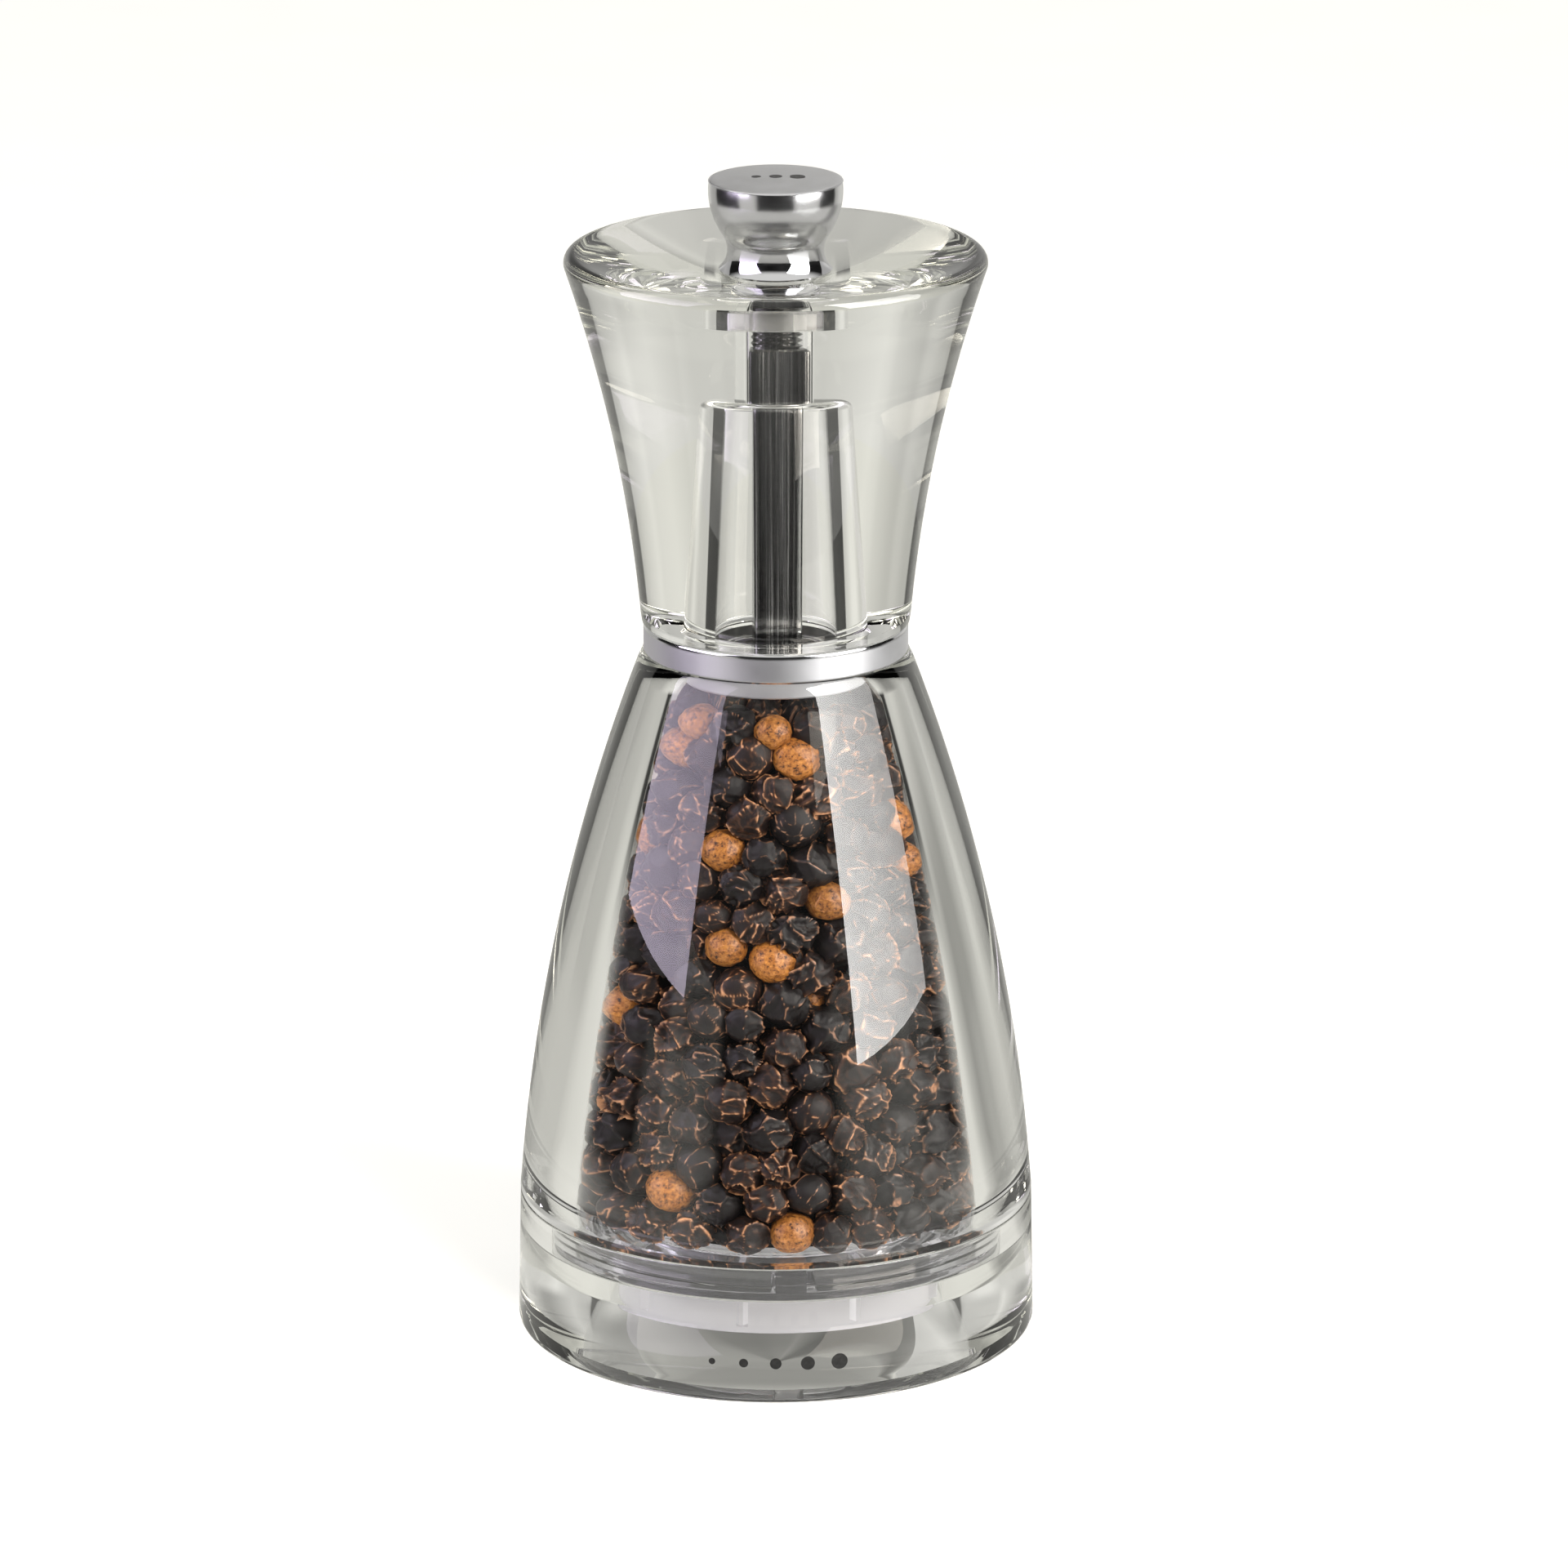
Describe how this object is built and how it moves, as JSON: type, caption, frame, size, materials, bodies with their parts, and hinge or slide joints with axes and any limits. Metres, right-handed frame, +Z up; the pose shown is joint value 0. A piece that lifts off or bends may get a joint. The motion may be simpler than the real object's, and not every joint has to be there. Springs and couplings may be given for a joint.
{
  "type": "pepper mill",
  "caption": "Clear acrylic table pepper mill with a bell-shaped body, a flared cap that turns a square spindle, a steel burr mechanism and a chromed grind-setting knob.",
  "frame": {"origin": "middle of the foot's resting face, on the axis of the mill", "axes": "+Z up along the axis towards the knob, +Y to the back, +X to the right seen from the front"},
  "size_m": [0.0552, 0.0552, 0.125],
  "materials": {
    "clear_acrylic": "polished clear acrylic",
    "translucent_plastic": "translucent white moulding",
    "nylon": "translucent nylon",
    "chrome": "polished, satin on top of the knob",
    "aluminium": "drawn bar, brushed lengthways",
    "burr_steel": "hardened dark steel",
    "spring_steel": "plain stamped steel",
    "brass": "turned",
    "peppercorn": "dry wrinkled black peppercorns"
  },
  "bodies": {
    "stand": {"base_ring": "clear_acrylic", "burr_carrier": "translucent_plastic", "outer_burr": "burr_steel", "bridge": "spring_steel", "bridge_screw_left": "spring_steel", "bridge_screw_right": "spring_steel", "body_shell": "clear_acrylic", "neck_collar": "chrome", "peppercorns": "peppercorn"},
    "rotor": {"shaft_bush": "nylon", "spring": "spring_steel"},
    "shaft": {"spindle": "aluminium", "inner_burr": "burr_steel", "spring_washer": "spring_steel", "burr_washer": "spring_steel", "retaining_clip": "spring_steel"},
    "cap": {"cap": "clear_acrylic", "knob_bush": "nylon"},
    "knob": {"knob": "chrome", "knob_insert": "brass"}
  },
  "joints": [
    {"name": "cap_turn", "type": "hinge", "parent": "stand", "child": "rotor", "pos_m": [0, 0, 0.0245], "axis": [0, 0, 1], "continuous": true},
    {"name": "spindle_rise", "type": "slide", "parent": "rotor", "child": "shaft", "axis": [0, 0, 1], "range_m": [-0.00106, 0.00053], "deforming": ["spring"]},
    {"name": "cap_lift", "type": "slide", "parent": "rotor", "child": "cap", "axis": [0, 0, 1], "range_m": [0, 0.048]},
    {"name": "knob_turn", "type": "hinge", "parent": "cap", "child": "knob", "pos_m": [0, 0, 0.115], "axis": [0, 0, 1], "range_deg": [-270, 540]}
  ],
  "couplings": [
    {"joint": "spindle_rise", "follows": "knob_turn", "m_per_rad": -0.00011141}
  ]
}
